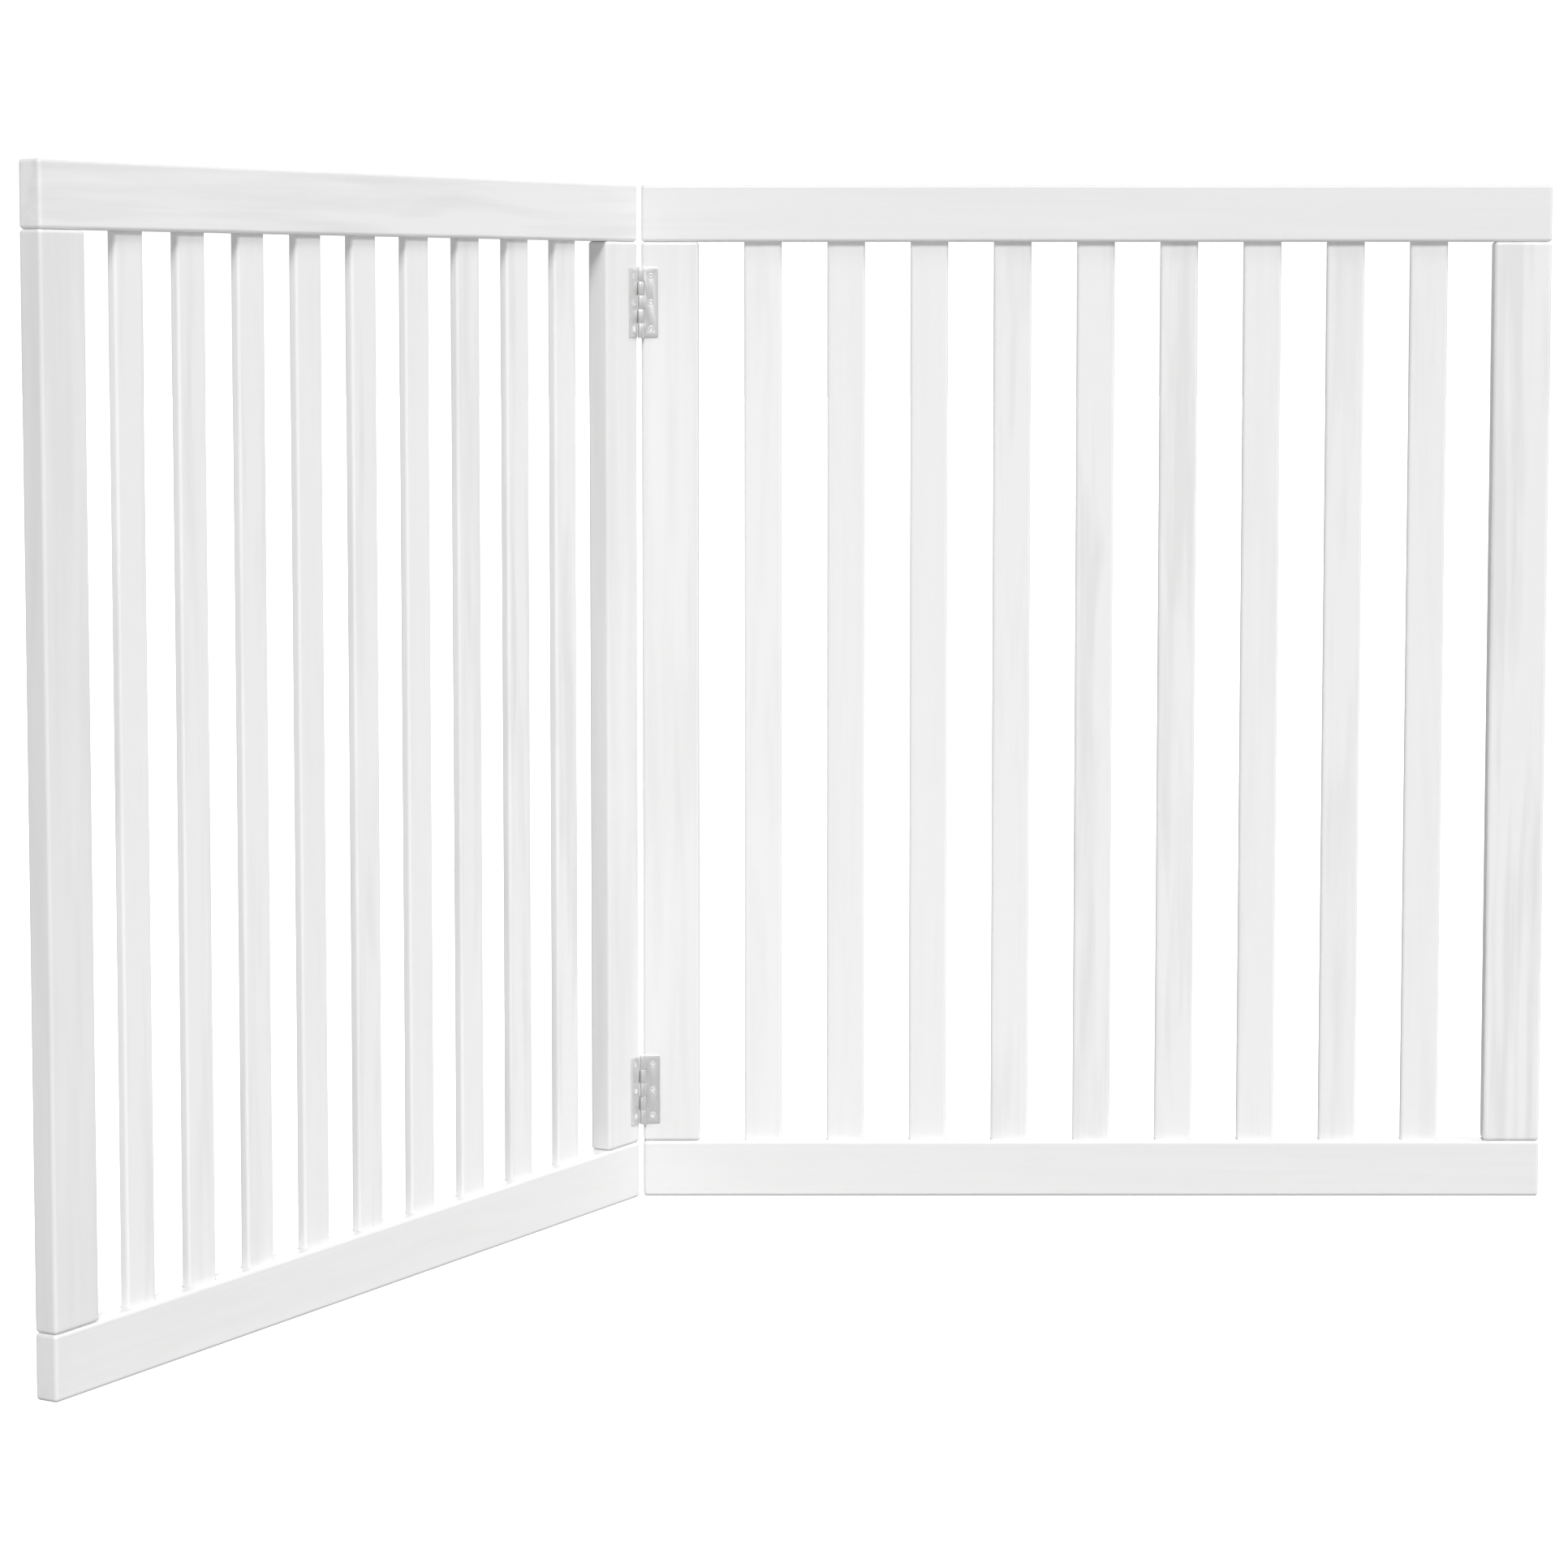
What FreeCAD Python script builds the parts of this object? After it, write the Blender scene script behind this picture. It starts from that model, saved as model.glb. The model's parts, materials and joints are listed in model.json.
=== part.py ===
"""Freestanding wooden pet gate: two slatted panels joined by a pair of butt hinges.

Frame of the part: +Z up, origin at the bottom centre of the gate's box, the right panel parallel to X,
the front of the gate towards -Y. The left panel stands folded towards the front by fold_angle.
Every panel is a top and a bottom rail, two stiles doweled between them and a row of slats in mortises.
"""

import FreeCAD, Part
import math
import os

import Sketcher

OUT = "parts"

# alias, value in millimetres (or degrees, or a count), what it is
SIZES = [
    ("panel_width", 800, "one panel, along the rails"),
    ("panel_height", 900, "floor to the top of the top rail"),
    ("frame_thickness", 20, "rails and stiles, front to back"),
    ("frame_round", 3, "radius of the eased edges of rails and stiles"),
    ("rail_height", 50, "height of a rail"),
    ("stile_width", 50, "width of a stile"),
    ("slat_count", 9, "slats in one panel"),
    ("slat_width", 33, "face width of a slat"),
    ("slat_thickness", 8, "slat, front to back"),
    ("slat_round", 2.5, "radius of the long edges of a slat"),
    ("mortise_depth", 12, "how far a slat goes into a rail"),
    ("mortise_clearance", 0.2, "gap round a slat in its mortise"),
    ("slat_end_gap", 1, "room above a slat in the top rail's mortise"),
    ("dowel_diameter", 8, "beech dowel between rail and stile"),
    ("dowel_length", 40, "half in the rail and half in the stile"),
    ("dowel_spacing", 24, "distance between the two dowels of a joint"),
    ("dowel_clearance", 0.05, "radial gap round a dowel"),
    ("blind_end_gap", 0.5, "room at the blind end of a dowel hole or a pilot hole"),
    ("dowel_chamfer", 1, "chamfer at the ends of a dowel"),
    ("panel_gap", 1, "gap between the two panels when they stand in line"),
    ("fold_angle", 60, "how far the left panel is folded forward from the line of the right one"),
    ("hinge_length", 61, "height of a hinge"),
    ("leaf_width", 15.2, "pin axis to the free edge of a leaf"),
    ("leaf_thickness", 1.2, "sheet the leaves are rolled from"),
    ("leaf_corner", 1.5, "corner radius at the free edge of a leaf"),
    ("pin_diameter", 3.2, "hinge pin"),
    ("pin_clearance", 0.05, "radial gap between pin and knuckle"),
    ("pin_head_diameter", 4.9, "head at each end of a pin"),
    ("pin_head_height", 0.8, "how far a pin's head stands out of the hinge"),
    ("pin_head_chamfer", 0.4, "chamfer round a pin's head"),
    ("curl_gap", 0.25, "gap between the end of a rolled knuckle and its own leaf"),
    ("knuckle_gap", 0.3, "axial gap between two knuckles"),
    ("notch_gap", 0.4, "gap between a leaf's notch and the other leaf's knuckle"),
    ("upper_hinge_drop", 103, "top of the panel to the middle of the upper hinge"),
    ("lower_hinge_rise", 97, "floor to the middle of the lower hinge"),
    ("screw_offset", 8.8, "pin axis to the screws of a leaf"),
    ("screw_spacing", 23, "distance between two screws of a leaf"),
    ("screw_diameter", 3, "shank of a hinge screw"),
    ("screw_length", 14, "head to point"),
    ("screw_head_diameter", 5.4, "countersunk head"),
    ("screw_head_height", 1, "height of the countersunk cone"),
    ("screw_point", 4, "length of the tapered point"),
    ("screw_clearance", 0.1, "gap round a screw in its leaf and pilot hole"),
    ("recess_width", 0.8, "arm of the cross recess"),
    ("recess_length", 3, "cross recess, end to end"),
    ("recess_depth", 0.7, "depth of the cross recess"),
]

KNUCKLES = 5  # in one hinge: the first, third and fifth belong to the right panel's leaf
SCREWS_IN_A_LEAF = 3
SCREW_TURNS = (12, 57, 31)  # degrees each screw of a leaf ends up turned by

# Worked out from the sheet, as expressions for the document.
BORE = "(sizes.pin_diameter / 2 + sizes.pin_clearance)"
KNUCKLE = f"({BORE} + sizes.leaf_thickness)"
KNUCKLE_LENGTH = f"((sizes.hinge_length - {KNUCKLES - 1} * sizes.knuckle_gap) / {KNUCKLES})"
KNUCKLE_STEP = f"({KNUCKLE_LENGTH} + sizes.knuckle_gap)"
SET_IN = "(sizes.panel_gap / 2)"
REACH = f"({SET_IN} + sizes.panel_width)"
SLAT_GAP = (
    "((sizes.panel_width - 2 * sizes.stile_width - sizes.slat_count * sizes.slat_width)"
    " / (sizes.slat_count + 1))"
)
SLAT_STEP = f"({SLAT_GAP} + sizes.slat_width)"
FIRST_SLAT = f"(sizes.stile_width + {SLAT_GAP})"
SLAT_RECESS = "((sizes.frame_thickness - sizes.slat_thickness) / 2)"
STILE_LENGTH = "(sizes.panel_height - 2 * sizes.rail_height)"
SLAT_LENGTH = f"({STILE_LENGTH} + 2 * sizes.mortise_depth - sizes.slat_end_gap)"
DOWEL_HOLE_DEPTH = "(sizes.dowel_length / 2 + sizes.blind_end_gap)"
DOWEL_HOLE_RADIUS = "(sizes.dowel_diameter / 2 + sizes.dowel_clearance)"
PILOT_RADIUS = "(sizes.screw_diameter / 2 + sizes.screw_clearance)"
PILOT_DEPTH = "(sizes.screw_length - sizes.leaf_thickness + sizes.blind_end_gap)"
HINGE_BOTTOMS = {
    "upper": "(sizes.panel_height - sizes.upper_hinge_drop - sizes.hinge_length / 2)",
    "lower": "(sizes.lower_hinge_rise - sizes.hinge_length / 2)",
}
FIRST_SCREW = "(sizes.hinge_length / 2 - sizes.screw_spacing)"

# The pin axis, placed so that the origin is the centre of the whole gate's box.
COS, SIN = "cos(sizes.fold_angle * 1 deg)", "sin(sizes.fold_angle * 1 deg)"
CORNER = f"({REACH} - sizes.frame_round)"
BACK = f"({KNUCKLE} + sizes.frame_thickness)"
LOW_X = f"(-{CORNER} * {COS} - ({BACK} - sizes.frame_round) * {SIN} - sizes.frame_round)"
LOW_Y = f"(-{CORNER} * {SIN} + ({KNUCKLE} + sizes.frame_round) * {COS} - sizes.frame_round)"
AXIS_X = f"(-({REACH} + {LOW_X}) / 2)"
AXIS_Y = f"(-({BACK} + {LOW_Y}) / 2)"

doc = FreeCAD.newDocument("pet_gate")
nodes = []


# ---------------------------------------------------------------- helpers


def make_sheet():
    """The driving dimensions: column A names them, column B holds the plain numbers."""
    sheet = doc.addObject("Spreadsheet::Sheet", "sizes")
    for row, (alias, value, meaning) in enumerate(SIZES, start=1):
        sheet.set(f"A{row}", alias)
        sheet.set(f"B{row}", str(value))
        sheet.setAlias(f"B{row}", alias)
        sheet.set(f"C{row}", meaning)
    doc.recompute()
    return sheet


def spot(x="0", y="0", z="0", turn=None):
    """A placement expression: a point and, if given, a turn as (axis, degrees)."""
    axis, degrees = turn or ("0; 0; 1", "0")
    return f"placement(vector({x}; {y}; {z}); rotation(vector({axis}); {degrees}))"


def make_frame(name, expression):
    """A named placement that other objects are positioned from."""
    frame = doc.addObject("App::Placement", name)
    frame.setExpression("Placement", expression)


def put(thing, frame, local):
    """Binds a thing's placement to a frame and a local placement."""
    thing.setExpression("Placement", f"{frame}.Placement * {local}")


def plane_of(body, role):
    """One of a body's own origin planes."""
    return next(o for o in body.Origin.OriginFeatures if o.Role == role)


def new_sketch(body, name, role="XY_Plane", x="0", y="0", z="0"):
    """A sketch on an origin plane, its own origin moved to x, y, z of that plane."""
    sketch = body.newObject("Sketcher::SketchObject", name)
    sketch.AttachmentSupport = [(plane_of(body, role), "")]
    sketch.MapMode = "FlatFace"
    for axis, value in zip("xyz", (x, y, z)):
        sketch.setExpression(f"AttachmentOffset.Base.{axis}", value)
    return sketch


def constrain(sketch, size, *facts):
    """Adds a constraint that holds a size from the sheet."""
    kind, *targets = facts
    index = sketch.addConstraint(Sketcher.Constraint(kind, *targets, sheet_value(size)))
    sketch.setExpression(f"Constraints[{index}]", size)


def point(x, y):
    return FreeCAD.Vector(x, y, 0)


def draw_loop(sketch, corners):
    """Straight lines through the corners, joined end to end."""
    first = sketch.GeometryCount
    count = len(corners)
    for here, there in zip(corners, corners[1:] + corners[:1]):
        sketch.addGeometry(Part.LineSegment(point(*here), point(*there)))
    for i in range(count):
        sketch.addConstraint(Sketcher.Constraint("Coincident", first + i, 2, first + (i + 1) % count, 1))
    return first


def draw_rectangle(sketch, width, height):
    """A rectangle from the sketch's origin."""
    x, y = sheet_value(width), sheet_value(height)
    first = draw_loop(sketch, [(0, 0), (x, 0), (x, y), (0, y)])
    for line, direction in enumerate(("Horizontal", "Vertical", "Horizontal", "Vertical")):
        sketch.addConstraint(Sketcher.Constraint(direction, first + line))
    sketch.addConstraint(Sketcher.Constraint("Coincident", first, 1, -1, 1))
    constrain(sketch, width, "DistanceX", first, 1, first, 2)
    constrain(sketch, height, "DistanceY", first + 1, 1, first + 1, 2)


def draw_circles(sketch, radius, places):
    """Circles of one radius, their centres on the sketch's horizontal axis."""
    for place in places:
        shape = Part.Circle(point(sheet_value(place), 0), FreeCAD.Vector(0, 0, 1), sheet_value(radius))
        circle = sketch.addGeometry(shape)
        sketch.addConstraint(Sketcher.Constraint("PointOnObject", circle, 3, -1))
        constrain(sketch, radius, "Radius", circle)
        constrain(sketch, place, "DistanceX", -1, 1, circle, 3)


def add_pad(body, sketch, length):
    pad = body.newObject("PartDesign::Pad", "pad")
    pad.Profile = sketch
    pad.setExpression("Length", length)
    doc.recompute()
    return pad


def add_cut(body, sketch, depth, towards_normal=False, both_sides=False):
    """A pocket, which must take something away."""
    before = body.Shape.Volume
    pocket = body.newObject("PartDesign::Pocket", "pocket")
    pocket.Profile = sketch
    pocket.Reversed = towards_normal
    pocket.Midplane = both_sides
    pocket.setExpression("Length", depth)
    doc.recompute()
    must_shrink(body, before)
    return pocket


def must_shrink(body, before):
    if not body.Shape.Volume < before:
        raise RuntimeError(f"a cut in {body.Label} took nothing away")


def repeat(body, feature, axis_of, axis, step, count):
    """A linear pattern of one feature along an axis of its own sketch."""
    before = body.Shape.Volume
    pattern = body.newObject("PartDesign::LinearPattern", "pattern")
    pattern.Originals = [feature]
    pattern.Direction = (axis_of, [axis])
    pattern.setExpression("Length", f"{step} * ({count} - 1)")
    pattern.setExpression("Occurrences", count)
    body.Tip = pattern
    doc.recompute()
    must_shrink(body, before)
    return pattern


def add_fillet(body, base, radius, edges=None):
    """Rounds the named edges of a feature, or all of them."""
    fillet = body.newObject("PartDesign::Fillet", "fillet")
    fillet.Base = (base, edges or [])
    fillet.UseAllEdges = edges is None
    fillet.setExpression("Radius", radius)
    doc.recompute()
    return fillet


def edges_along(shape, direction, keep=lambda edge: True):
    """Names of the straight edges that run along a direction."""
    found = []
    for number, edge in enumerate(shape.Edges, start=1):
        start, end = edge.Vertexes[0].Point, edge.Vertexes[-1].Point
        run = end - start
        if run.Length > 0 and abs(run.normalize().dot(direction)) > 0.999 and keep(edge):
            found.append(f"Edge{number}")
    return found


def new_body(name, keep=True):
    body = doc.addObject("PartDesign::Body", name)
    body.Label = name
    if keep:
        nodes.append(body)
    return body


def make_turned(name, corners, keep=False):
    """A turned piece: a closed outline of (radius, height) expressions, turned about Z.

    The first and last corners lie on the axis.
    """
    body = new_body(name, keep)
    sketch = new_sketch(body, "outline", "XZ_Plane")
    guess = [(sheet_value(r), sheet_value(h)) for r, h in corners]
    first = draw_loop(sketch, guess)
    last = len(corners) - 1
    for i, (radius, height) in enumerate(corners):
        if i in (0, last):
            sketch.addConstraint(Sketcher.Constraint("PointOnObject", first + i, 1, -2))
        else:
            constrain(sketch, radius, "DistanceX", -1, 1, first + i, 1)
        if abs(guess[i][1]) < 1e-9:
            sketch.addConstraint(Sketcher.Constraint("PointOnObject", first + i, 1, -1))
        else:
            constrain(sketch, height, "DistanceY", -1, 1, first + i, 1)
    turned = body.newObject("PartDesign::Revolution", "turned")
    turned.Profile = sketch
    turned.ReferenceAxis = (sketch, ["V_Axis"])
    turned.Angle = 360
    doc.recompute()
    return body


def sheet_value(expression):
    """The value that an expression of the sheet has now."""
    value = sheet.evalExpression(expression)
    return float(getattr(value, "Value", value))


def make_group(name, members):
    """Identical pieces that share one node."""
    group = doc.addObject("Part::Compound", name)
    group.Label = name
    group.Links = members
    nodes.append(group)
    return group


# ---------------------------------------------------------------- panels


def make_rail(name, mortises_up):
    """A rail with its slat mortises and dowel holes in the edge that faces the slats."""
    body = new_body(name)
    outline = new_sketch(body, "outline")
    draw_rectangle(outline, "sizes.panel_width", "sizes.frame_thickness")
    pad = add_pad(body, outline, "sizes.rail_height")
    add_fillet(body, pad, "sizes.frame_round")

    edge = "sizes.rail_height" if mortises_up else "0"
    clear = "sizes.mortise_clearance"
    mortise = new_sketch(body, "mortise", x=f"{FIRST_SLAT} - {clear}", y=f"{SLAT_RECESS} - {clear}", z=edge)
    draw_rectangle(mortise, f"sizes.slat_width + 2 * {clear}", f"sizes.slat_thickness + 2 * {clear}")
    pocket = add_cut(body, mortise, "sizes.mortise_depth", towards_normal=not mortises_up)
    repeat(body, pocket, mortise, "H_Axis", SLAT_STEP, "sizes.slat_count")

    holes = new_sketch(body, "dowel_holes", y="sizes.frame_thickness / 2", z=edge)
    near = [f"sizes.stile_width / 2 {side} sizes.dowel_spacing / 2" for side in "-+"]
    far = [f"sizes.panel_width - ({place})" for place in near]
    draw_circles(holes, DOWEL_HOLE_RADIUS, near + far)
    add_cut(body, holes, DOWEL_HOLE_DEPTH, towards_normal=not mortises_up)
    return body


def make_stile(name, pilot_from_left=None):
    """A stile with dowel holes in both ends and, on the hinge side, the pilot holes of the hinge screws.

    pilot_from_left is how far the pilot holes stand from the stile's left edge.
    """
    body = new_body(name)
    outline = new_sketch(body, "outline")
    draw_rectangle(outline, "sizes.stile_width", "sizes.frame_thickness")
    pad = add_pad(body, outline, STILE_LENGTH)
    add_fillet(body, pad, "sizes.frame_round")

    places = [f"sizes.stile_width / 2 {side} sizes.dowel_spacing / 2" for side in "-+"]
    for end, height, inwards in (("bottom", "0", True), ("top", STILE_LENGTH, False)):
        holes = new_sketch(body, f"{end}_dowel_holes", y="sizes.frame_thickness / 2", z=height)
        draw_circles(holes, DOWEL_HOLE_RADIUS, places)
        add_cut(body, holes, DOWEL_HOLE_DEPTH, towards_normal=inwards)

    if pilot_from_left:
        for which, bottom in HINGE_BOTTOMS.items():
            height = f"{bottom} + {FIRST_SCREW} - sizes.rail_height"
            holes = new_sketch(body, f"{which}_pilot_holes", "XZ_Plane", y=height)
            draw_circles(holes, PILOT_RADIUS, [pilot_from_left])
            pocket = add_cut(body, holes, PILOT_DEPTH)
            repeat(body, pocket, holes, "V_Axis", "sizes.screw_spacing", str(SCREWS_IN_A_LEAF))
    return body


def make_slat(name):
    body = new_body(name)
    outline = new_sketch(body, "outline")
    draw_rectangle(outline, "sizes.slat_width", "sizes.slat_thickness")
    pad = add_pad(body, outline, SLAT_LENGTH)
    add_fillet(body, pad, "sizes.slat_round", edges_along(pad.Shape, FreeCAD.Vector(0, 0, 1)))
    return body


def make_dowel(name):
    radius, chamfer = "(sizes.dowel_diameter / 2)", "sizes.dowel_chamfer"
    corners = [
        ("0", "0"),
        (f"{radius} - {chamfer}", "0"),
        (radius, chamfer),
        (radius, f"sizes.dowel_length - {chamfer}"),
        (f"{radius} - {chamfer}", "sizes.dowel_length"),
        ("0", "sizes.dowel_length"),
    ]
    return make_turned(name, corners)


def make_panel(side, pilots):
    """All wood of one panel. pilots maps "left" or "right", the hinge side, to its pilot holes' place."""
    panel = f"{side}_panel"
    frame = f"{panel}_frame"
    top = "sizes.panel_height - sizes.rail_height"
    put(make_rail(f"{panel}_bottom_rail", mortises_up=True), frame, spot())
    put(make_rail(f"{panel}_top_rail", mortises_up=False), frame, spot(z=top))

    for edge, x in (("left", "0"), ("right", "sizes.panel_width - sizes.stile_width")):
        role = "hinge" if edge in pilots else "outer"
        stile = make_stile(f"{panel}_{role}_stile", pilots.get(edge))
        put(stile, frame, spot(x=x, z="sizes.rail_height"))

    for number in range(int(sheet.slat_count)):
        slat = make_slat(f"{panel}_slat_{number + 1}")
        x = f"{FIRST_SLAT} + {number} * {SLAT_STEP}"
        put(slat, frame, spot(x=x, y=SLAT_RECESS, z="sizes.rail_height - sizes.mortise_depth"))

    dowels = []
    for x_start in ("0", "(sizes.panel_width - sizes.stile_width)"):
        for half in "-+":
            for joint in ("sizes.rail_height", top):
                dowel = make_dowel(f"{panel}_dowel_{len(dowels) + 1}")
                x = f"{x_start} + sizes.stile_width / 2 {half} sizes.dowel_spacing / 2"
                z = f"{joint} - sizes.dowel_length / 2"
                put(dowel, frame, spot(x=x, y="sizes.frame_thickness / 2", z=z))
                dowels.append(dowel)
    make_group(f"{panel}_dowels", dowels)


# ---------------------------------------------------------------- hinges


def draw_leaf_outline(sketch):
    """Cross-section of a leaf across the pin: a flat sheet that ends in a rolled knuckle.

    The sheet's back, y = knuckle radius, is the face that lies on the stile.
    """
    outer, inner, width = sheet_value(KNUCKLE), sheet_value(BORE), sheet_value("sizes.leaf_width")
    roll_end = math.asin((inner - sheet_value("sizes.curl_gap")) / outer)
    start, end = math.pi / 2, 2 * math.pi + roll_end
    up = FreeCAD.Vector(0, 0, 1)

    def on_circle(radius):
        return point(radius * math.cos(roll_end), radius * math.sin(roll_end))

    back = sketch.addGeometry(Part.LineSegment(point(width, outer), point(0, outer)))
    outside = sketch.addGeometry(Part.ArcOfCircle(Part.Circle(point(0, 0), up, outer), start, end))
    lip = sketch.addGeometry(Part.LineSegment(on_circle(outer), on_circle(inner)))
    inside = sketch.addGeometry(Part.ArcOfCircle(Part.Circle(point(0, 0), up, inner), start, end))
    front = sketch.addGeometry(Part.LineSegment(point(0, inner), point(width, inner)))
    tip = sketch.addGeometry(Part.LineSegment(point(width, inner), point(width, outer)))

    meets = [
        (back, 2, outside, 1),
        (outside, 2, lip, 1),
        (lip, 2, inside, 2),
        (inside, 1, front, 1),
        (front, 2, tip, 1),
        (tip, 2, back, 1),
        (outside, 3, -1, 1),
        (inside, 3, -1, 1),
    ]
    for pair in meets:
        sketch.addConstraint(Sketcher.Constraint("Coincident", *pair))
    for arc in (outside, inside):
        sketch.addConstraint(Sketcher.Constraint("PointOnObject", arc, 1, -2))
    for line in (back, front):
        sketch.addConstraint(Sketcher.Constraint("Horizontal", line))
    sketch.addConstraint(Sketcher.Constraint("Vertical", tip))
    sketch.addConstraint(Sketcher.Constraint("PointOnObject", -1, 1, lip))
    constrain(sketch, KNUCKLE, "Radius", outside)
    constrain(sketch, BORE, "Radius", inside)
    constrain(sketch, "sizes.leaf_width", "DistanceX", -1, 1, tip, 1)
    constrain(sketch, f"{BORE} - sizes.curl_gap", "DistanceY", -1, 1, lip, 1)


def make_leaf(name, first_notch):
    """One hinge leaf. Every second knuckle, from first_notch, is left to the other leaf."""
    body = new_body(name)
    outline = new_sketch(body, "outline")
    draw_leaf_outline(outline)
    pad = add_pad(body, outline, "sizes.hinge_length")

    width = sheet_value("sizes.leaf_width")
    corners = edges_along(pad.Shape, FreeCAD.Vector(0, 1, 0), lambda e: e.CenterOfMass.x > 0.9 * width)
    add_fillet(body, pad, "sizes.leaf_corner", corners)

    notches = new_sketch(
        body,
        "notch",
        "XZ_Plane",
        x=f"-2 * {KNUCKLE}",
        y=f"{first_notch} * {KNUCKLE_STEP} - sizes.knuckle_gap",
    )
    draw_rectangle(notches, f"3 * {KNUCKLE} + sizes.notch_gap", f"{KNUCKLE_LENGTH} + 2 * sizes.knuckle_gap")
    notch = add_cut(body, notches, f"3 * {KNUCKLE}", both_sides=True)
    repeat(body, notch, notches, "V_Axis", f"2 * {KNUCKLE_STEP}", str((KNUCKLES - first_notch + 1) // 2))

    add_countersinks(body)
    return body


def add_countersinks(body):
    """The screw holes of a leaf, countersunk from its front."""
    section = new_sketch(body, "countersink", x="sizes.screw_offset", y=BORE, z=FIRST_SCREW)
    hole = "(sizes.screw_diameter / 2 + sizes.screw_clearance)"
    head = "(sizes.screw_head_diameter / 2 + sizes.screw_clearance)"
    corners = [
        ("0", "0"),
        (head, "0"),
        (hole, "sizes.screw_head_height"),
        (hole, "sizes.leaf_thickness"),
        ("0", "sizes.leaf_thickness"),
    ]
    guess = [(sheet_value(x), sheet_value(y)) for x, y in corners]
    first = draw_loop(section, guess)
    for i in (0, 4):
        section.addConstraint(Sketcher.Constraint("PointOnObject", first + i, 1, -2))
    for i in (0, 1):
        section.addConstraint(Sketcher.Constraint("PointOnObject", first + i, 1, -1))
    for i in (1, 2, 3):
        constrain(section, corners[i][0], "DistanceX", -1, 1, first + i, 1)
    for i in (2, 3, 4):
        constrain(section, corners[i][1], "DistanceY", -1, 1, first + i, 1)

    before = body.Shape.Volume
    groove = body.newObject("PartDesign::Groove", "countersink_cut")
    groove.Profile = section
    groove.ReferenceAxis = (section, ["V_Axis"])
    groove.Angle = 360
    doc.recompute()
    must_shrink(body, before)
    repeat(body, groove, section, "N_Axis", "sizes.screw_spacing", str(SCREWS_IN_A_LEAF))


def make_pin(name):
    """A hinge pin with a chamfered head at each end, so that it can't slide out."""
    shaft, head = "(sizes.pin_diameter / 2)", "(sizes.pin_head_diameter / 2)"
    height, chamfer, top = "sizes.pin_head_height", "sizes.pin_head_chamfer", "sizes.hinge_length"
    corners = [
        ("0", f"-{height}"),
        (f"{head} - {chamfer}", f"-{height}"),
        (head, f"-{height} + {chamfer}"),
        (head, "0"),
        (shaft, "0"),
        (shaft, top),
        (head, top),
        (head, f"{top} + {height} - {chamfer}"),
        (f"{head} - {chamfer}", f"{top} + {height}"),
        ("0", f"{top} + {height}"),
    ]
    return make_turned(name, corners, keep=True)


def make_screw(name):
    """A countersunk wood screw, its head's face at z = 0 and its point down."""
    shank, head = "(sizes.screw_diameter / 2)", "(sizes.screw_head_diameter / 2)"
    corners = [
        ("0", "0"),
        (head, "0"),
        (shank, "-sizes.screw_head_height"),
        (shank, "-(sizes.screw_length - sizes.screw_point)"),
        ("0", "-sizes.screw_length"),
    ]
    body = make_turned(name, corners)
    for arm, (x_size, y_size) in enumerate((("length", "width"), ("width", "length"))):
        wide, deep = f"sizes.recess_{x_size}", f"sizes.recess_{y_size}"
        sketch = new_sketch(body, f"recess_{arm + 1}", x=f"-{wide} / 2", y=f"-{deep} / 2")
        draw_rectangle(sketch, wide, deep)
        add_cut(body, sketch, "sizes.recess_depth")
    return body


def make_hinge(which, bottom):
    """Two leaves, the pin and the screws of one hinge."""
    name = f"{which}_hinge"
    upside_down = ("0; 1; 0", "180")
    leaf = make_leaf(f"{name}_right_leaf", first_notch=1)
    put(leaf, "fixed_axis", spot(z=bottom))
    leaf = make_leaf(f"{name}_left_leaf", first_notch=0)
    put(leaf, "folding_axis", spot(z=f"{bottom} + sizes.hinge_length", turn=upside_down))
    put(make_pin(f"{name}_pin"), "fixed_axis", spot(z=bottom))

    facing_front = spot(turn=("1; 0; 0", "90"))
    for side, axis, sign in (("right", "fixed_axis", ""), ("left", "folding_axis", "-")):
        screws = []
        for number, turn in enumerate(SCREW_TURNS):
            screw = make_screw(f"{name}_{side}_screw_{number + 1}")
            height = f"{bottom} + {FIRST_SCREW} + {number} * sizes.screw_spacing"
            place = spot(x=f"{sign}sizes.screw_offset", y=BORE, z=height)
            twist = spot(turn=("0; 0; 1", str(turn)))
            put(screw, axis, f"{place} * {facing_front} * {twist}")
            screws.append(screw)
        make_group(f"{name}_{side}_screws", screws)


# ---------------------------------------------------------------- the gate

sheet = make_sheet()
make_frame("fixed_axis", spot(x=AXIS_X, y=AXIS_Y))
make_frame("folding_axis", f"fixed_axis.Placement * {spot(turn=('0; 0; 1', 'sizes.fold_angle'))}")
make_frame("right_panel_frame", f"fixed_axis.Placement * {spot(x=SET_IN, y=KNUCKLE)}")
make_frame("left_panel_frame", f"folding_axis.Placement * {spot(x=f'-{REACH}', y=KNUCKLE)}")

pilot = f"sizes.screw_offset - {SET_IN}"
make_panel("right", {"left": pilot})
make_panel("left", {"right": f"sizes.stile_width - ({pilot})"})
for which, bottom in HINGE_BOTTOMS.items():
    make_hinge(which, bottom)
doc.recompute()

# ---------------------------------------------------------------- checks and export

for thing in doc.Objects:
    if "Invalid" in thing.State or "Error" in thing.State:
        raise RuntimeError(f"{thing.Label} failed: {thing.State}")
for node in nodes:
    if node.Shape.isNull() or not node.Shape.isValid() or not node.Shape.Solids:
        raise RuntimeError(f"{node.Label} has no valid solid")

os.makedirs(OUT, exist_ok=True)
for node in nodes:
    node.Shape.exportStep(f"{OUT}/{node.Label}.step")

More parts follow.
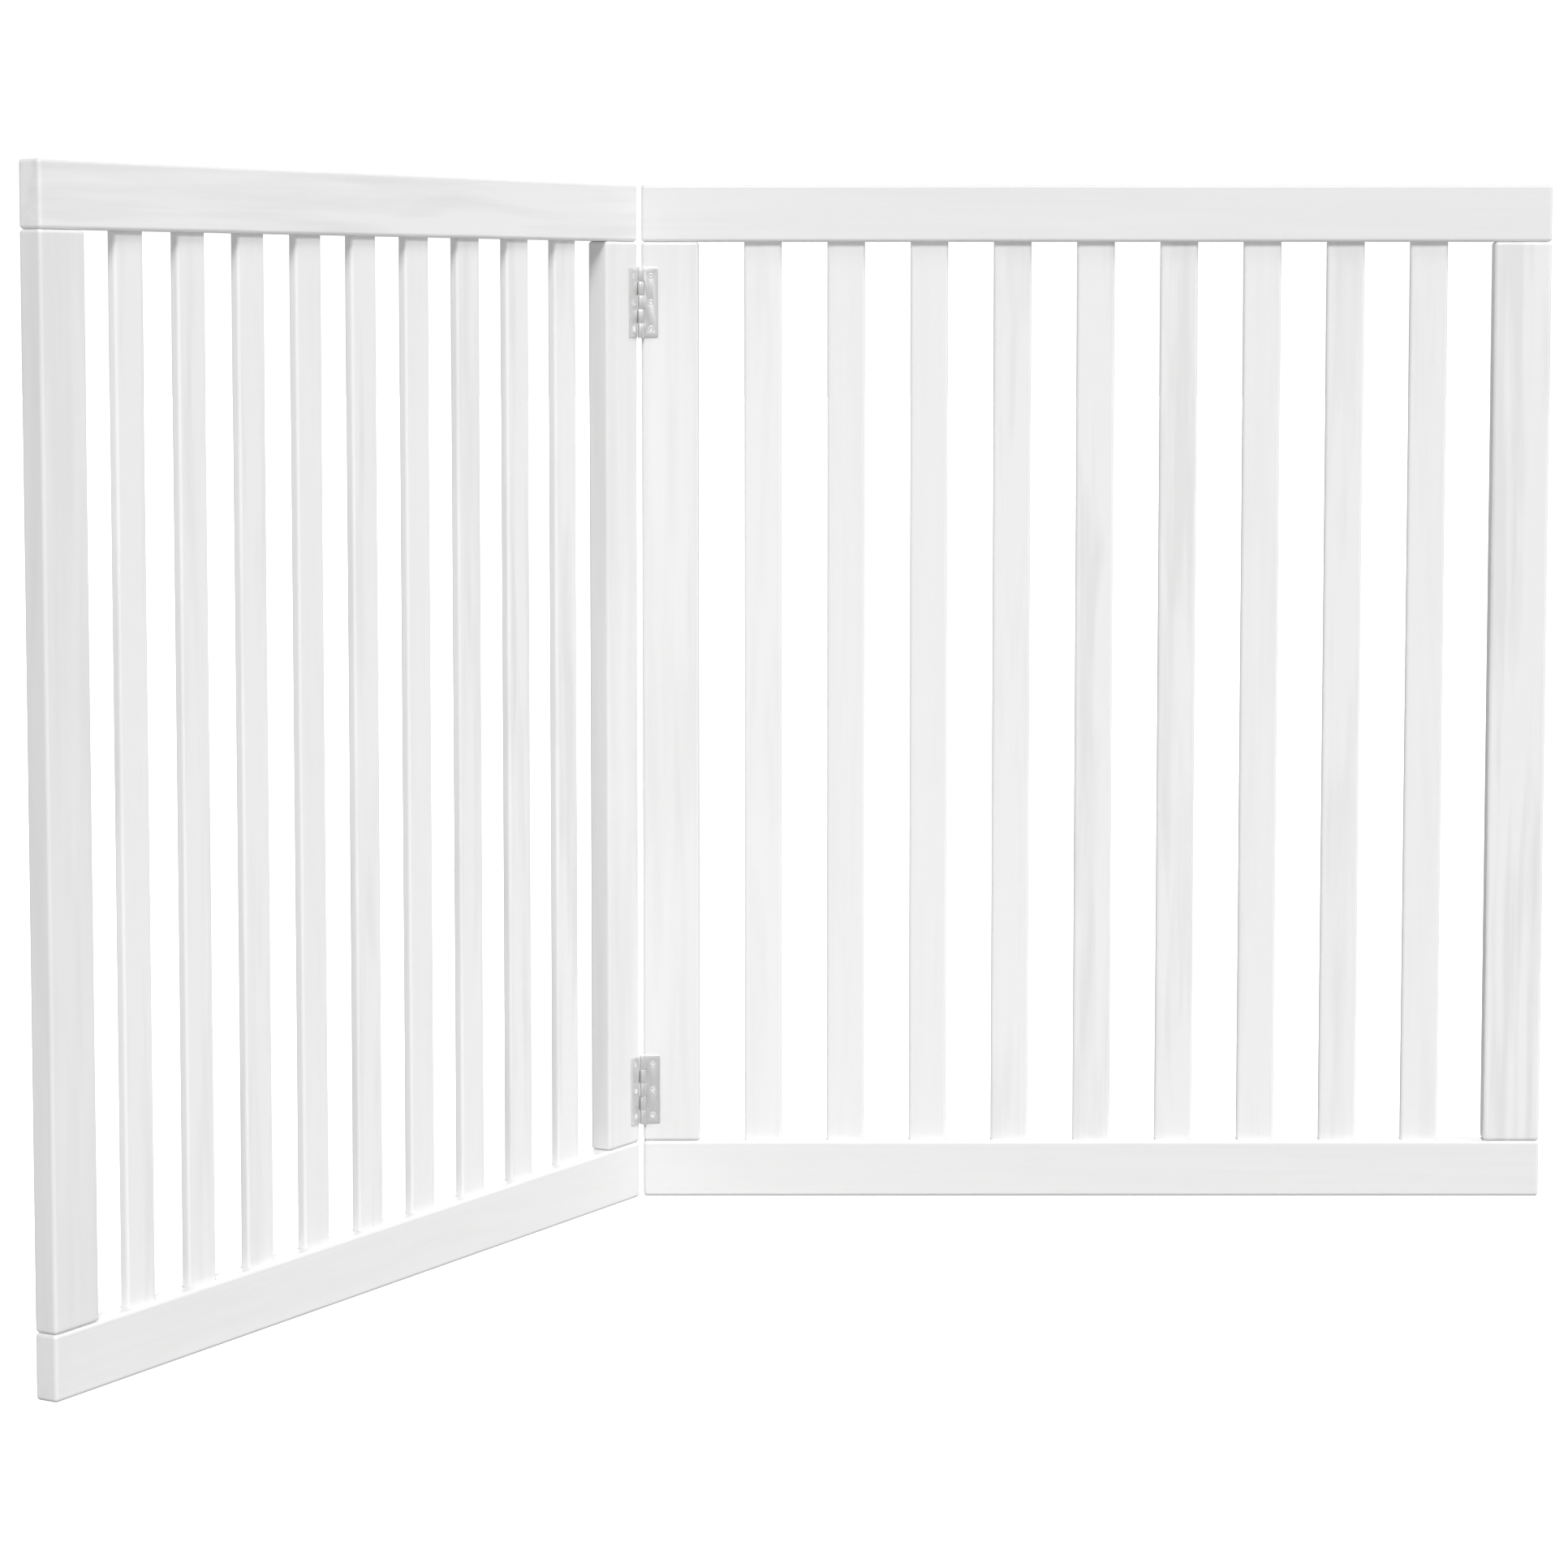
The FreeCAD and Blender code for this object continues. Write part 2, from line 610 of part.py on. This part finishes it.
whole = Part.makeCompound([node.Shape for node in nodes]).BoundBox
print(f"{len(nodes)} nodes, box {whole.XMin:.2f} {whole.YMin:.2f} {whole.ZMin:.2f}", end=" ")
print(f"to {whole.XMax:.2f} {whole.YMax:.2f} {whole.ZMax:.2f}")
print("pin axis at", [round(sheet_value(place), 3) for place in (AXIS_X, AXIS_Y)])
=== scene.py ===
"""The looks of a white folding pet gate: painted pine boards, zinc-plated hinges, camera and light.

Lengths are in metres unless a name says MM. A panel's own axes are x from the hinge pin along the
panel, y from its front to its back, and z up.
"""

import json
import math
import random

import bmesh
import bpy
from mathutils import Matrix, Vector


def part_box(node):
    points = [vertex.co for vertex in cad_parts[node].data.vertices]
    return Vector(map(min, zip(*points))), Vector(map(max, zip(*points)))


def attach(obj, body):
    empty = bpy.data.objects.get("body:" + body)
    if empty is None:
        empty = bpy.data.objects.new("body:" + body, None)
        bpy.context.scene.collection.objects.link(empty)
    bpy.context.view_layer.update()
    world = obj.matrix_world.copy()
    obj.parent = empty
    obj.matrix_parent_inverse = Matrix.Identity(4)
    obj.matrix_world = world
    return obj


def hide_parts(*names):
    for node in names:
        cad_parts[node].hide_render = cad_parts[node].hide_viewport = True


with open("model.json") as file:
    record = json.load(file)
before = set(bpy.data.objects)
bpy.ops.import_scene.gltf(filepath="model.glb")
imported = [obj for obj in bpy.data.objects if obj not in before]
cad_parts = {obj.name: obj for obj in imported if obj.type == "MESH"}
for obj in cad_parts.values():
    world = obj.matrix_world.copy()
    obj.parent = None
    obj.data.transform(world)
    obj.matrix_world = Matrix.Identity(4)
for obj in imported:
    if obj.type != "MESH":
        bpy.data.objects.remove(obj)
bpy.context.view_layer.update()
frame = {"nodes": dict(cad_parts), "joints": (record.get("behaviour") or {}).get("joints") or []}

MM = 0.001

# ---------------------------------------------------------------- where the CAD parts are

FOLD = next(joint for joint in frame["joints"] if joint["name"] == "fold")
PIN = Vector(FOLD["pos_m"])
# The panels lie flat on each other at the joint's upper limit, half a turn from being in line.
REST_FOLD = math.pi - math.radians(FOLD["range_deg"][1])

TURN = {"right": Matrix.Identity(4), "left": Matrix.Rotation(REST_FOLD, 4, "Z")}
MIRROR = {"right": Matrix.Identity(4), "left": Matrix.Scale(-1, 4, Vector((1, 0, 0)))}
TO_PIN = Matrix.Translation(Vector((PIN.x, PIN.y, 0)))
# From a panel's own axes to the gate's.
PLACE = {side: TO_PIN @ TURN[side] @ MIRROR[side] for side in ("right", "left")}

# ---------------------------------------------------------------- camera, light and floor

CAMERA_FROM_PIN = Vector((0.1258, -3.638, 0))
CAMERA_HEIGHT = 0.8021
CAMERA_PITCH = math.radians(-4.58)
SENSOR_MM = 36
LENS_MM = 94.8
SHIFT_Y = -0.10
LAMP_DISTANCE = 4
FLOOR_SIZE = 60

# The camera sees the surround and the floor as plain white, and the gate gets less light from them.
SURROUND_SEEN = 1.1
# What the surround gives, from level with the gate and from straight above.
SURROUND_BESIDE = 0.50
SURROUND_ABOVE = 0.05
FLOOR_SEEN = 0.9
FLOOR_GLOW = 0.65
FLOOR_GIVEN = 0.48


def add_camera():
    data = bpy.data.cameras.new("camera")
    data.lens = LENS_MM
    data.sensor_width = SENSOR_MM
    data.shift_y = SHIFT_Y
    camera = bpy.data.objects.new("camera", data)
    bpy.context.scene.collection.objects.link(camera)
    camera.location = Vector((PIN.x, PIN.y, CAMERA_HEIGHT)) + CAMERA_FROM_PIN
    camera.rotation_euler = (math.pi / 2 + CAMERA_PITCH, 0, 0)
    bpy.context.scene.camera = camera


def add_lamp(name, azimuth, elevation, strength, spread):
    """A far studio lamp. Angles are in degrees, with azimuth 0 in front of the gate and 90 at its right."""
    data = bpy.data.lights.new(name, "SUN")
    data.energy = strength
    data.angle = math.radians(spread)
    lamp = bpy.data.objects.new(name, data)
    bpy.context.scene.collection.objects.link(lamp)
    a, e = math.radians(azimuth), math.radians(elevation)
    outwards = Vector((math.sin(a) * math.cos(e), -math.cos(a) * math.cos(e), math.sin(e)))
    lamp.location = outwards * LAMP_DISTANCE
    lamp.rotation_euler = (-outwards).to_track_quat("-Z", "Y").to_euler()


def add(tree, kind, inputs=None, output=0, **settings):
    """Adds a node, links or sets its inputs, and returns one of its outputs."""
    made = tree.nodes.new("ShaderNode" + kind)
    for name, value in settings.items():
        setattr(made, name, value)
    for name, value in (inputs or {}).items():
        if isinstance(value, bpy.types.NodeSocket):
            tree.links.new(value, made.inputs[name])
        else:
            made.inputs[name].default_value = value
    return made.outputs[output]


def plain_grey(level):
    return (level, level, level, 1)


def add_surround():
    """A plain white surround, which gives less light than the camera sees, and least from above."""
    world = bpy.data.worlds.new("studio")
    bpy.context.scene.world = world
    world.use_nodes = True
    tree = world.node_tree
    tree.nodes.clear()
    direction = add(tree, "TexCoord", output="Generated")
    upwards = add(tree, "SeparateXYZ", {"Vector": direction}, output="Z")
    by_height = {"Value": upwards, "To Min": SURROUND_BESIDE, "To Max": SURROUND_ABOVE}
    strength = add(tree, "MapRange", by_height)
    given = add(tree, "Background", {"Color": plain_grey(1), "Strength": strength})
    seen = add(tree, "Background", {"Color": plain_grey(1), "Strength": SURROUND_SEEN})
    in_sight = add(tree, "LightPath", output="Is Camera Ray")
    both = add(tree, "MixShader", {0: in_sight, 1: given, 2: seen})
    out = tree.nodes.new("ShaderNodeOutputWorld")
    tree.links.new(both, out.inputs["Surface"])


def add_floor():
    """A plain pale floor without an edge in sight, lit until it is as white as the surround."""
    mesh = bpy.data.meshes.new("floor")
    shape = bmesh.new()
    bmesh.ops.create_grid(shape, x_segments=1, y_segments=1, size=FLOOR_SIZE / 2)
    shape.to_mesh(mesh)
    shape.free()
    floor = bpy.data.objects.new("floor", mesh)
    bpy.context.scene.collection.objects.link(floor)
    material = bpy.data.materials.new("floor")
    material.use_nodes = True
    tree = material.node_tree
    tree.nodes.clear()
    given = add(tree, "BsdfDiffuse", {"Color": plain_grey(FLOOR_GIVEN)})
    matt = add(tree, "BsdfDiffuse", {"Color": plain_grey(FLOOR_SEEN)})
    glow = add(tree, "Emission", {"Color": plain_grey(1), "Strength": FLOOR_GLOW})
    seen = add(tree, "AddShader", {0: matt, 1: glow})
    in_sight = add(tree, "LightPath", output="Is Camera Ray")
    both = add(tree, "MixShader", {0: in_sight, 1: given, 2: seen})
    out = tree.nodes.new("ShaderNodeOutputMaterial")
    tree.links.new(both, out.inputs["Surface"])
    mesh.materials.append(material)


bpy.context.scene.view_settings.view_transform = "Standard"
add_camera()
add_surround()
add_lamp("key", azimuth=-1, elevation=43, strength=2.08, spread=20)
add_lamp("side", azimuth=76, elevation=36, strength=1.27, spread=12)
add_lamp("back", azimuth=180, elevation=25, strength=1.1, spread=25)
add_floor()

# ---------------------------------------------------------------- materials

PAINT_PALE = (0.882, 0.882, 0.880)
PAINT_DARK = (0.792, 0.792, 0.789)
BEECH_PALE = (0.70, 0.52, 0.34)
BEECH_DARK = (0.52, 0.34, 0.19)
ZINC_PALE = (0.88, 0.88, 0.875)
ZINC_DARK = (0.81, 0.81, 0.81)
SCREW_PALE = (0.95, 0.95, 0.945)
SCREW_DARK = (0.86, 0.86, 0.86)
# A ring wave of scale 1 turns through this many radians in a metre.
WAVE_RADIANS = 20


class Finish:
    """A material on one principled shader, with short ways to add procedural detail."""

    def __init__(self, name, metallic=0.0):
        self.material = bpy.data.materials.new(name)
        self.material.use_nodes = True
        self.tree = self.material.node_tree
        self.shader = self.tree.nodes["Principled BSDF"]
        self.shader.inputs["Metallic"].default_value = metallic

    def attribute(self, name):
        return add(self.tree, "Attribute", output="Vector", attribute_name=name)

    def object_place(self):
        return add(self.tree, "TexCoord", output="Object")

    def noise(self, place, per_metre, detail=2.0, rough=0.5):
        """Noise from 0 to 1 with so many cells per metre along each of the three axes."""
        scaled = add(self.tree, "Mapping", {"Vector": place, "Scale": per_metre})
        inputs = {"Vector": scaled, "Scale": 1, "Detail": detail, "Roughness": rough}
        return add(self.tree, "TexNoise", inputs)

    def level(self, value, low, high, to_low=0.0, to_high=1.0):
        """Value's stretch from low to high, moved to the stretch from to_low to to_high."""
        span = {"Value": value, "From Min": low, "From Max": high, "To Min": to_low, "To Max": to_high}
        return add(self.tree, "MapRange", span)

    def total(self, *weighted):
        """The sum of weight times value for each (weight, value)."""
        so_far = 0.0
        for weight, value in weighted:
            so_far = add(self.tree, "Math", {0: value, 1: weight, 2: so_far}, operation="MULTIPLY_ADD")
        return so_far

    def colour(self, share, first, second):
        """Colours the surface from first to second by share."""
        inputs = {0: share, 6: (*first, 1), 7: (*second, 1)}
        mixed = add(self.tree, "Mix", inputs, output=2, data_type="RGBA")
        self.tree.links.new(mixed, self.shader.inputs["Base Color"])

    def roughness(self, value):
        self.tree.links.new(value, self.shader.inputs["Roughness"])

    def relief(self, height, depth_mm):
        """Raises the surface by up to depth_mm where height is 1."""
        inputs = {"Height": height, "Distance": depth_mm * MM, "Strength": 1.0}
        bump = add(self.tree, "Bump", inputs, output="Normal")
        self.tree.links.new(bump, self.shader.inputs["Normal"])


def ring_waves(finish, board, ring_mm):
    """Growth rings round the pith, which wander slowly along the board."""
    wander = add(finish.tree, "Mapping", {"Vector": board, "Scale": (1.9, 11, 11)})
    drift = add(finish.tree, "TexNoise", {"Vector": wander, "Scale": 1, "Detail": 2}, output="Color")
    centred = add(finish.tree, "VectorMath", {0: drift, 1: (0.5, 0.5, 0.5)}, operation="SUBTRACT")
    reach = (0, 0.06, 0.06)
    moved = add(finish.tree, "VectorMath", {0: centred, 1: reach, 2: board}, operation="MULTIPLY_ADD")
    rings = {"Vector": moved, "Scale": math.tau / WAVE_RADIANS / (ring_mm * MM)}
    return add(finish.tree, "TexWave", rings, output="Fac", wave_type="RINGS", rings_direction="X")


def painted_pine():
    """White satin paint through which the pine's grain still shows, on some boards more than on others."""
    finish = Finish("painted_pine")
    board = finish.attribute("board")
    tone = add(finish.tree, "SeparateXYZ", {"Vector": finish.attribute("kind")})
    figure = tone.node.outputs["Y"]
    rings = finish.level(ring_waves(finish, board, ring_mm=14.0), 0.35, 1.0)
    broad = finish.noise(board, (3.4, 42, 42), detail=1)
    narrow = finish.noise(board, (8, 130, 130), detail=2)
    patches = finish.level(finish.total((0.62, broad), (0.38, narrow)), 0.38, 0.68)
    fibres = finish.level(finish.noise(board, (7, 420, 420), detail=3), 0.3, 0.7)
    brushed = finish.noise(board, (30, 1500, 1500), detail=2)
    peel = finish.noise(board, (700, 700, 700), detail=1)
    drawn = finish.total((0.22, rings), (0.85, patches), (1.0, -0.42))
    shown = add(finish.tree, "Math", {0: drawn, 1: figure}, operation="MULTIPLY")
    grey = finish.total((1.0, tone), (1.0, shown), (0.1, fibres), (1.0, -0.05))
    finish.colour(grey, PAINT_PALE, PAINT_DARK)
    strokes = finish.level(brushed, 0, 1, to_low=0.38, to_high=0.48)
    finish.roughness(finish.total((0.12, patches), (0.08, fibres), (1.0, strokes)))
    height = finish.total((0.45, fibres), (0.25, rings), (0.12, brushed), (0.2, peel))
    finish.relief(height, depth_mm=0.05)
    return finish.material


def beech():
    """Bare beech with fine fibres and short dark flecks."""
    finish = Finish("beech")
    board = finish.attribute("board")
    fibres = finish.noise(board, (25, 900, 900), detail=3)
    flecks = finish.level(finish.noise(board, (220, 1400, 1400), detail=1), 0.56, 0.7)
    finish.colour(finish.total((0.7, fibres), (0.4, flecks)), BEECH_PALE, BEECH_DARK)
    finish.roughness(finish.level(fibres, 0, 1, to_low=0.55, to_high=0.75))
    finish.relief(finish.total((0.6, fibres), (-0.3, flecks)), depth_mm=0.05)
    return finish.material


def zinc_plate():
    """Rolled steel sheet under satin zinc: fine upright streaks and a soft cloudiness."""
    finish = Finish("zinc_plate", metallic=1.0)
    place = finish.object_place()
    streaks = finish.noise(place, (2600, 2600, 60), detail=2)
    clouds = finish.noise(place, (160, 160, 110), detail=3)
    grit = finish.noise(place, (4000, 4000, 4000), detail=1)
    finish.colour(finish.level(clouds, 0.3, 0.7), ZINC_PALE, ZINC_DARK)
    satin = finish.level(clouds, 0, 1, to_low=0.27, to_high=0.31)
    finish.roughness(finish.total((0.10, streaks), (0.14, clouds), (0.08, grit), (1.0, satin)))
    finish.relief(finish.total((0.7, streaks), (0.3, grit)), depth_mm=0.012)
    return finish.material


def screw_steel():
    """Bright zinc with a fine cloudiness."""
    finish = Finish("screw_steel", metallic=0.6)
    place = finish.object_place()
    clouds = finish.noise(place, (900, 900, 900), detail=3)
    finish.colour(finish.level(clouds, 0.3, 0.7), SCREW_PALE, SCREW_DARK)
    finish.roughness(finish.level(clouds, 0.3, 0.7, to_low=0.24, to_high=0.36))
    finish.relief(clouds, depth_mm=0.01)
    return finish.material


def paint_over(piece, material):
    piece.data.materials.clear()
    piece.data.materials.append(material)


# ---------------------------------------------------------------- boards and dowels

# How grey the paint looks, from 0 to 1. The first words that are in a board's name count.
TONES = {
    "left_panel_top_rail": 0.25,
    "left_panel_bottom_rail": 0.5,
    "left_panel_outer_stile": 0.7,
    "outer_stile": 0.4,
    "rail": 0.5,
    "hinge_stile": 0.6,
    "slat": 0.1,
    "dowels": 0.0,
}
TONE_SPREAD = 0.03
# How clearly the figure of a board shows through the paint.
FIGURES = (0.3, 0.8, 1.4, 2.1)
# How far up its tree a board was sawn, and how far sideways and behind it the pith ran.
UP_THE_TREE = (5, 60)
PITH_ACROSS_MM = (-35, 35)
PITH_BEHIND_MM = (15, 70)
WOOD_SEED = 20


def lay_grain(piece, place, lengthwise, tone, dice):
    """Stores where each vertex is in its tree: along the grain, and the two ways away from the pith.

    lengthwise is the panel axis that the grain runs along. Each board comes from another tree.
    A second attribute holds how grey the board is and how clearly its figure shows.
    """
    along = "xyz".index(lengthwise)
    across = 2 - along
    to_panel = place.inverted()
    points = [to_panel @ vertex.co for vertex in piece.data.vertices]
    middle = [(min(p[i] for p in points) + max(p[i] for p in points)) / 2 for i in range(3)]
    tree = dice.uniform(*UP_THE_TREE)
    pith_across = dice.uniform(*PITH_ACROSS_MM) * MM
    pith_behind = dice.choice((-1, 1)) * dice.uniform(*PITH_BEHIND_MM) * MM
    figure = dice.choice(FIGURES)
    tone += dice.uniform(-TONE_SPREAD, TONE_SPREAD)
    kind = piece.data.attributes.new("kind", "FLOAT_VECTOR", "POINT")
    kind.data.foreach_set("vector", (tone, figure, 0) * len(points))
    board = piece.data.attributes.new("board", "FLOAT_VECTOR", "POINT")
    for vertex, p in zip(board.data, points):
        beside = p[across] - middle[across] + pith_across
        behind = p.y - middle[1] + pith_behind
        vertex.vector = (tree + p[along] - middle[along], beside, behind)


def finish_wood():
    paint, bare = painted_pine(), beech()
    dice = random.Random(WOOD_SEED)
    for side in ("right", "left"):
        for name in sorted(n for n in frame["nodes"] if n.startswith(side + "_panel_")):
            piece = frame["nodes"][name]
            tone = next(grey for words, grey in TONES.items() if words in name)
            lay_grain(piece, PLACE[side], "x" if name.endswith("_rail") else "z", tone, dice)
            paint_over(piece, bare if name.endswith("_dowels") else paint)


finish_wood()

# ---------------------------------------------------------------- hinges

EDGE = 0.14 * MM
WELD = 0.002 * MM
FLAT = math.radians(0.5)
SHARP = math.radians(35)

SCREWS_LOW, SCREWS_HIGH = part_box("upper_hinge_right_screws")
LEAF_FRONT = SCREWS_LOW.y - PIN.y
SCREW_X = (SCREWS_LOW.x + SCREWS_HIGH.x) / 2 - PIN.x
SCREW_LENGTH = SCREWS_HIGH.y - SCREWS_LOW.y
SCREWS_PER_LEAF = 3
SCREW_SEED = 31
HEAD_RADIUS = 2.7 * MM
SHANK_RADIUS = 1.5 * MM
# Vertices in a ring round a screw, rings on its head's face and rings in a turn of its thread.
AROUND = 48
HEAD_RINGS = 14
RINGS_PER_TURN = 8


def new_piece(name, shape, body, slot, material, *nodes):
    """Makes an object of a bmesh, which stands for the CAD nodes and rides on their body."""
    mesh = bpy.data.meshes.new(name)
    shape.to_mesh(mesh)
    shape.free()
    mesh.shade_smooth()
    mesh.set_sharp_from_angle(angle=SHARP)
    mesh.materials.append(material)
    piece = bpy.data.objects.new(name, mesh)
    bpy.context.scene.collection.objects.link(piece)
    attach(piece, body)
    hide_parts(*nodes)


def eased_copy(node):
    """The CAD node's shape with its sharp edges eased, as stamping and plating leave them."""
    shape = bmesh.new()
    shape.from_mesh(frame["nodes"][node].data)
    bmesh.ops.remove_doubles(shape, verts=shape.verts, dist=WELD)
    bmesh.ops.dissolve_limit(shape, angle_limit=FLAT, verts=shape.verts, edges=shape.edges)
    sharp = [e for e in shape.edges if len(e.link_faces) == 2 and e.calc_face_angle() > SHARP]
    bmesh.ops.bevel(
        shape,
        geom=sharp,
        offset=EDGE,
        offset_type="OFFSET",
        segments=2,
        profile=0.5,
        affect="EDGES",
        clamp_overlap=True,
    )
    bmesh.ops.dissolve_degenerate(shape, dist=WELD, edges=shape.edges)
    return shape


def cross_recess(x, y):
    """How deep a cross recess is at a point of the head, from 0 to 1."""
    arm = 0.42 * MM
    reach = 1.45 * MM
    wall = 0.22 * MM
    rise = 0.55
    inside = max(min(arm - abs(x), reach - abs(y)), min(arm - abs(y), reach - abs(x)))
    return min(max(inside / wall, 0), 1) * (1 - rise * math.hypot(x, y) / reach)


def add_screw(shape, place, turn):
    """A countersunk cross-head wood screw. Its axis is place's y, and its head is at place's origin."""
    crown, recess, lip, rim, neck = 0.28 * MM, 1.0 * MM, 0.05 * MM, 0.12 * MM, 1.32 * MM
    pitch, bite, thread_start, point = 1.25 * MM, 0.42 * MM, 2.6 * MM, 4.0 * MM
    crest_share, tip_share = 0.28, 0.02

    def head_top(radius, angle):
        x, y = radius * math.cos(angle - turn), radius * math.sin(angle - turn)
        dome = -crown * (1 - (radius / HEAD_RADIUS) ** 2)
        return dome + recess * cross_recess(x, y)

    def thread(depth, angle):
        core = SHANK_RADIUS - bite
        phase = (depth / pitch - angle / math.tau) % 1
        crest = max(0.0, 1 - abs(phase - 0.5) / crest_share)
        start = min(max((depth - thread_start) / pitch, 0), 1)
        plain = SHANK_RADIUS * (1 - start) + core * start
        taper = min(1.0, (SCREW_LENGTH - depth) / point)
        return (plain + bite * crest * start) * max(taper, tip_share)

    # Each ring is a radius and a depth for every angle.
    angles = [math.tau * i / AROUND for i in range(AROUND)]
    rings = []
    for step in range(1, HEAD_RINGS + 1):
        radius = (HEAD_RADIUS - lip) * step / HEAD_RINGS
        rings.append([(radius, head_top(radius, angle)) for angle in angles])
    rings.append([(HEAD_RADIUS, lip)] * AROUND)
    rings.append([(HEAD_RADIUS, rim)] * AROUND)
    rings.append([(SHANK_RADIUS, neck)] * AROUND)
    ring_step = pitch / RINGS_PER_TURN
    depth = neck
    while depth < SCREW_LENGTH - ring_step / 2:
        depth += ring_step
        level = min(depth, SCREW_LENGTH)
        rings.append([(thread(level, angle), level) for angle in angles])

    def vertex(radius, depth, angle):
        return shape.verts.new(place @ Vector((radius * math.cos(angle), depth, radius * math.sin(angle))))

    middle = vertex(0, head_top(0, 0), 0)
    laid = [[vertex(*spot, angle) for spot, angle in zip(ring, angles)] for ring in rings]
    tip = vertex(0, SCREW_LENGTH, 0)
    for i in range(AROUND):
        after = (i + 1) % AROUND
        shape.faces.new((middle, laid[0][i], laid[0][after]))
        shape.faces.new((tip, laid[-1][after], laid[-1][i]))
        for upper, lower in zip(laid, laid[1:]):
            shape.faces.new((upper[i], lower[i], lower[after], upper[after]))


def add_screws(hinge, side, material, turns):
    """Sets a leaf's screws in a row, each with its cross turned by its own angle."""
    node = f"{hinge}_hinge_{side}_screws"
    low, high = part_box(node)
    first, last = low.z + HEAD_RADIUS, high.z - HEAD_RADIUS
    shape = bmesh.new()
    for i, turn in enumerate(turns):
        z = first + (last - first) * i / (len(turns) - 1)
        head = PLACE[side] @ Vector((SCREW_X, LEAF_FRONT, z))
        add_screw(shape, Matrix.Translation(head) @ TURN[side], turn)
    bmesh.ops.recalc_face_normals(shape, faces=shape.faces)
    name = f"{hinge}_hinge_{side}_cross_head_screws"
    new_piece(name, shape, f"{side}_panel", "screw_steel", material, node)


def finish_hinges():
    zinc, steel = zinc_plate(), screw_steel()
    dice = random.Random(SCREW_SEED)
    for hinge in ("upper", "lower"):
        for side in ("right", "left"):
            leaf = f"{hinge}_hinge_{side}_leaf"
            new_piece(f"{leaf}_plate", eased_copy(leaf), f"{side}_panel", "zinc_plate", zinc, leaf)
            turns = [dice.uniform(0, math.pi / 2) for _ in range(SCREWS_PER_LEAF)]
            add_screws(hinge, side, steel, turns)
        pin = f"{hinge}_hinge_pin"
        new_piece(f"{pin}_riveted", eased_copy(pin), "right_panel", "zinc_plate", zinc, pin)


finish_hinges()
